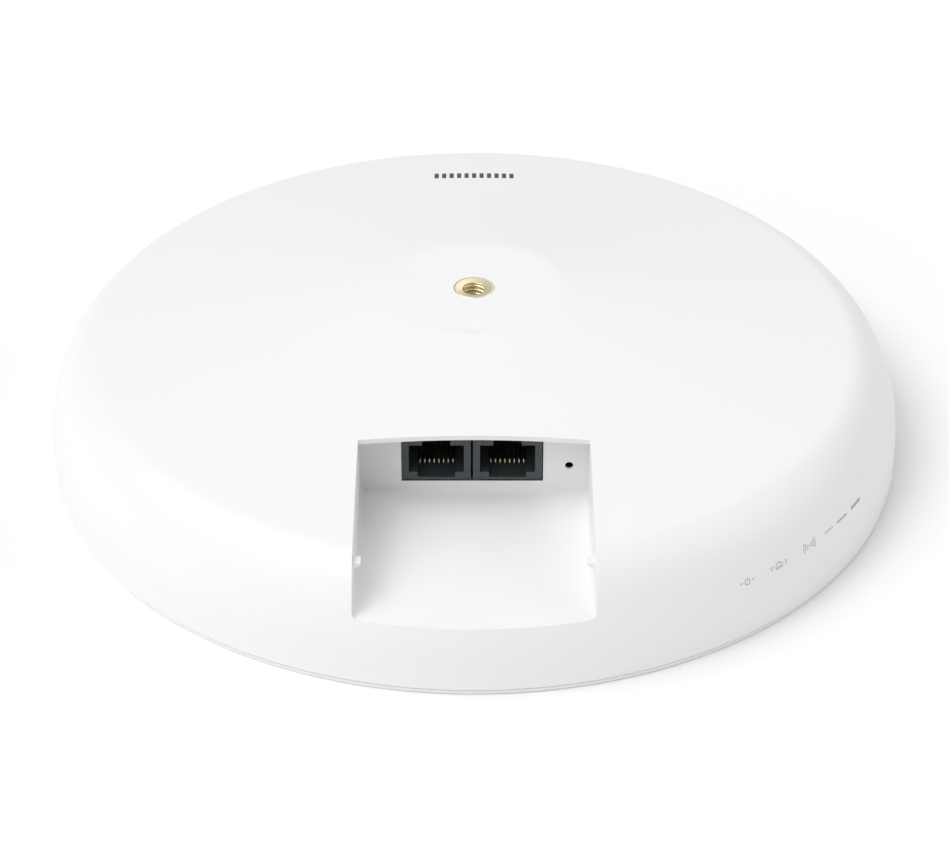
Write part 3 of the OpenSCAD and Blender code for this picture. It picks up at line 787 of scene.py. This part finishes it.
def contacts(name, node, body):
    """Eight gold-plated spring wires with softened edges."""
    lo, hi = node_box(node)
    half_w, half_t = WIRE_W / 2, WIRE_T / 2
    shares = [(0.6, -1), (1, -0.5), (1, 0.2), (0.85, 0.7), (0.5, 0.95), (0, 1)]
    section = [(half_w * u, half_t * t) for u, t in shares]
    section += [(-u, t) for u, t in reversed(section[:-1])]
    bm = bmesh.new()
    for i in range(8):
        x0 = (lo.x + hi.x) / 2 + (i - 3.5) * CONTACT_PITCH
        rows = []
        for y, z, a in wire_path():
            y, z = JACK_LO.y + y, BOARD_TOP + z
            rows.append([Vector((x0 + u, y + t * math.cos(a), z + t * math.sin(a))) for u, t in section])
        made = add_grid(bm, rows, close=True)
        bm.faces.new(made[0])
        bm.faces.new(made[-1])
    wires = mesh_object(name, bm)
    finish_shading(wires, 65)
    dress(wires, "contact_wire", [node], body)


# The wires' rising part is painted dark: a nickel colour darkened into painted shade, where the jack's depth
# lies in shade.
GOLD = (1.0, 0.88, 0.60)
SHADED_NICKEL = (0.16, 0.18, 0.19)
bend_y = JACK_LO.y + BEND_Y
fade_plating_and_shade(M["contact_wire"], GOLD, SHADED_NICKEL, bend_y - 0.42, bend_y - 0.2)
for side in ("left", "right"):
    jack_housing(f"jack_{side}_shell", f"jack_{side}_housing")
    contacts(f"jack_{side}_wires", f"jack_{side}_contacts", f"jack_{side}_springs")

# ---------- print ----------

INK = 0.025                          # how far the print stands proud
WAVE_DEG = 67.5                      # how far round a wave of the wireless sign goes


def on_shoulder(bearing, x, z, lift):
    """Point on the shoulder: x millimetres to the right of a bearing, at height z."""
    t = math.asin((z - SIDE_H) / SHOULDER_H)
    r, _ = shoulder(t)
    out = Vector((math.cos(t) / SHOULDER_W, math.sin(t) / SHOULDER_H)).normalized()
    b = math.radians(bearing) + x / R
    return polar(r + out.x * lift, b, z + out.y * lift)


def on_cone(x, y, lift):
    r = math.hypot(x, y)
    return Vector((x, y, cone_z(r) + lift))


def add_ink(bm, place, points, width):
    """A printed stroke along points of the 2-D artwork, laid on the surface by place(u, v, lift)."""
    fine = [Vector(points[0])]
    for a, b in zip(points, points[1:]):
        n = max(1, int((Vector(b) - Vector(a)).length / 0.35))
        fine += [Vector(a).lerp(Vector(b), k / n) for k in range(1, n + 1)]
    rows = []
    for k, p in enumerate(fine):
        d = (fine[min(k + 1, len(fine) - 1)] - fine[max(k - 1, 0)]).normalized()
        side = Vector((-d.y, d.x)) * width / 2
        corners = [(p + side, INK), (p - side, INK), (p - side, -INK), (p + side, -INK)]
        rows.append([place(q.x, q.y, lift) for q, lift in corners])
    made = add_grid(bm, rows, close=True)
    bm.faces.new(made[0])
    bm.faces.new(made[-1])


def arc(cx, cy, r, start, end, steps=10):
    return [(cx + r * math.cos(math.radians(start + (end - start) * k / steps)),
             cy + r * math.sin(math.radians(start + (end - start) * k / steps))) for k in range(steps + 1)]


def legend_power(bm, place):
    """A power sign between two dashes."""
    add_ink(bm, place, arc(0, -0.05, 0.66, 125, 415, 16), 0.22)
    add_ink(bm, place, [(0, 0.15), (0, 0.85)], 0.22)
    for side in (-1, 1):
        add_ink(bm, place, [(side * 1.2, 0), (side * 1.95, 0)], 0.22)


def legend_port(bm, place):
    """A network socket between two arrowheads."""
    half = [(0.9, -0.65), (0.9, 0.3), (0.42, 0.3), (0.42, 0.65)]
    outline = [(-0.9, -0.65)] + mirrored(half)
    add_ink(bm, place, outline, 0.18)
    for x in (-0.42, 0, 0.42):
        add_ink(bm, place, [(x, -0.5), (x, -0.1)], 0.16)
    for side in (-1, 1):
        add_ink(bm, place, [(side * 1.35, 0), (side * 1.65, 0)], 0.2)
        add_ink(bm, place, [(side * 1.95, -0.5), (side * 2.45, 0), (side * 1.95, 0.5)], 0.2)


def legend_wireless(bm, place):
    """A dot with waves to both sides."""
    add_ink(bm, place, [(-0.17, 0), (0.17, 0)], 0.34)
    for middle in (0, 180):
        for r in (0.75, 1.35, 1.95):
            add_ink(bm, place, arc(0, 0, r, middle - WAVE_DEG / 2, middle + WAVE_DEG / 2), 0.2)


def legend_bar(thickness, length):
    return lambda bm, place: add_ink(bm, place, [(-length / 2, 0), (length / 2, 0)], thickness)


LEGENDS = {                          # bearing and drawing of each
    "power": (36.9, legend_power),
    "port": (42.4, legend_port),
    "wireless": (48.4, legend_wireless),
    "low": (52.8, legend_bar(0.2, 3.2)),
    "medium": (56.1, legend_bar(0.42, 4.2)),
    "high": (60.0, legend_bar(0.7, 4.4)),
}
for name, (bearing, draw) in LEGENDS.items():
    bm = bmesh.new()
    draw(bm, lambda u, v, lift: on_shoulder(bearing, u, LEGEND_Z + v, lift))
    dress(mesh_object("legend_" + name, bm), "print_ink")

MARK_Y = 67.3
MARK_W = 19.0
MARK_H = 3.4
MARK_DASHES = 11


def maker_mark():
    """A plain row of dashes where a printed name would be."""
    bm = bmesh.new()
    step = MARK_W / (MARK_DASHES - 0.4)
    for k in range(MARK_DASHES):
        x = -MARK_W / 2 + step * (k + 0.3)
        add_ink(bm, on_cone, [(x, MARK_Y - MARK_H / 2), (x, MARK_Y + MARK_H / 2)], step * 0.55)
    dress(mesh_object("dash_row", bm), "print_dark")


maker_mark()

# ---------- the other nodes keep their CAD shape ----------

SLOT_OF = {s["node"]: s["material_slot"] for s in frame["record"]["subparts"]}
EDGE = 0.1                           # rounding of most carried-over nodes; a few need another
SOFT_EDGES = {
    "main_board": 0.05, "antenna_board": 0.05, "antenna_patches": 0.02, "antenna_feed_lines": 0.02,
    "jack_left_tails": 0.04, "jack_right_tails": 0.04, "lan_transformers": 0.3, "power_transformer": 0.3,
    "power_inductors": 0.4, "power_capacitors": 0.5, "antenna_spacers": 0.2, "coax_leads": 0,
}


def soften(obj, width):
    """Rounds a node's edges and smooths its shading with modifiers, which leave its mesh as it is."""
    weld = obj.modifiers.new("weld", "WELD")
    weld.merge_threshold = SLIVER * MM
    if width:
        rounding = obj.modifiers.new("rounding", "BEVEL")
        rounding.width = width * MM
        rounding.segments = 2
        rounding.limit_method = "ANGLE"
        rounding.angle_limit = math.radians(40)
        rounding.use_clamp_overlap = True
    normals = obj.modifiers.new("normals", "WEIGHTED_NORMAL")
    normals.keep_sharp = True


for name, obj in NODES.items():
    if obj.hide_render:
        continue
    obj.data.materials.clear()
    obj.data.materials.append(M[SLOT_OF[name]])
    soften(obj, SOFT_EDGES.get(name, EDGE))

# ---------- studio ----------

CAMERA_REACH = 750                   # from the pivot on the axis
CAMERA_RISE = math.radians(32.51)
PIVOT_Z = 18
AIM_Y = -25.26
CAMERA_X = 0.1
LENS = 126.436                       # for a sensor 36 mm wide
SENSOR = 36
SOFT_LIGHTS = [                      # name, bearing from the front, height, strength
    ("left", -90, 55, 0.88),
    ("front_left_low", -45, 30, 0.45),
    ("front_left", -45, 60, 0.85),
    ("right", 90, 30, 0.52),
    ("back", 160, 40, 0.3),
]
LIGHT_SPREAD = math.radians(40)
SURROUND = 0.38                      # strength of the even light from all round
FLOOR_HALF = 3000


def camera():
    data = bpy.data.cameras.new("camera")
    data.sensor_width = SENSOR
    data.lens = LENS
    data.clip_start = 0.01
    data.clip_end = 50
    cam = bpy.data.objects.new("camera", data)
    bpy.context.scene.collection.objects.link(cam)
    back, up = CAMERA_REACH * math.cos(CAMERA_RISE), CAMERA_REACH * math.sin(CAMERA_RISE)
    eye = Vector((CAMERA_X, -back, PIVOT_Z + up)) * MM
    aim = Vector((CAMERA_X, AIM_Y, PIVOT_Z)) * MM
    cam.location = eye
    cam.rotation_euler = (aim - eye).to_track_quat("-Z", "Y").to_euler()
    bpy.context.scene.camera = cam


def studio():
    bm = bmesh.new()
    side = FLOOR_HALF
    bm.faces.new([bm.verts.new((x, y, 0)) for x, y in rectangle(-side, -side, side, side)])
    floor = mesh_object("floor", bm)
    floor.data.materials.append(principled("floor_white", (0.95, 0.95, 0.95), 0.9))
    world = bpy.data.worlds.new("studio")
    world.use_nodes = True
    background = world.node_tree.nodes["Background"]
    background.inputs["Color"].default_value = (1, 1, 1, 1)
    background.inputs["Strength"].default_value = SURROUND
    bpy.context.scene.world = world
    for name, bearing, rise, strength in SOFT_LIGHTS:
        sun = bpy.data.lights.new(name, "SUN")
        sun.energy = strength
        sun.angle = LIGHT_SPREAD
        light = bpy.data.objects.new(name, sun)
        bpy.context.scene.collection.objects.link(light)
        b, e = math.radians(bearing), math.radians(rise)
        light.rotation_euler = polar(math.cos(e), b, math.sin(e)).to_track_quat("Z", "Y").to_euler()
    scene = bpy.context.scene
    scene.view_settings.view_transform = "Standard"
    scene.view_settings.look = "None"
    scene.cycles.max_bounces = 10


camera()
studio()
